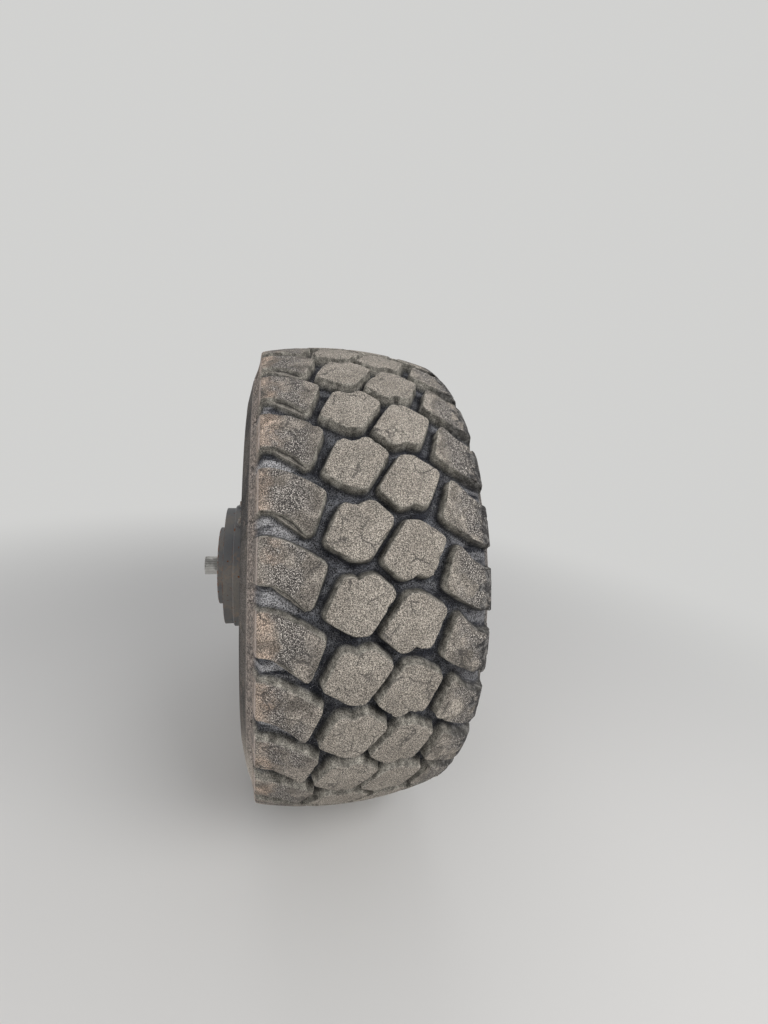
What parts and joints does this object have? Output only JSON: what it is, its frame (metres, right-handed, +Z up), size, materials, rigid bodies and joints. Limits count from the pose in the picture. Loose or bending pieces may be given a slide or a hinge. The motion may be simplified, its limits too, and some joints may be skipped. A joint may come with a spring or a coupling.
{
  "type": "articulated dump truck wheel on its axle end",
  "caption": "Earthmover wheel of a dump truck: block-tread tyre on a multi-piece rim, planetary hub, wet brake housing and spindle flange, turning freely.",
  "frame": {"origin": "centre of the axle flange's bolt circle, on the flange's inboard mounting face", "axes": "+Y outboard along the axle, +Z up, +X towards the rear of the truck on its right-hand side"},
  "size_m": [1.88, 0.952, 1.88],
  "materials": {
    "tyre_rubber": "worn, dusty",
    "rim_paint": "dusty satin",
    "hub_paint": "dusty satin",
    "zinc_steel": "zinc plated",
    "machined_steel": "machined",
    "brass_fitting": "dull"
  },
  "bodies": {
    "axle_end": {"spindle": "hub_paint", "piston_housing": "hub_paint", "brake_housing": "hub_paint", "seal_carrier": "machined_steel", "brake_ports": "zinc_steel"},
    "wheel": {"tyre": "tyre_rubber", "rim_base": "rim_paint", "rim_disc": "rim_paint", "inner_flange": "rim_paint", "outer_flange": "rim_paint", "bead_seat_band": "rim_paint", "lock_ring": "zinc_steel", "lock_key": "zinc_steel", "valve_stem": "brass_fitting", "wheel_nuts": "zinc_steel", "hub_drum": "hub_paint", "planet_housing": "hub_paint", "hub_cover": "hub_paint", "cover_bolts": "zinc_steel", "centre_cap": "hub_paint", "oil_plugs": "zinc_steel"},
    "half_shaft": {"half_shaft": "machined_steel"}
  },
  "joints": [
    {"name": "wheel_spin", "type": "hinge", "parent": "axle_end", "child": "wheel", "pos_m": [0, 0, 0], "axis": [0, 1, 0], "continuous": true},
    {"name": "half_shaft_spin", "type": "hinge", "parent": "axle_end", "child": "half_shaft", "pos_m": [0, 0, 0], "axis": [0, 1, 0], "continuous": true}
  ],
  "couplings": [
    {"joint": "half_shaft_spin", "follows": "wheel_spin", "ratio": 5.3333}
  ]
}
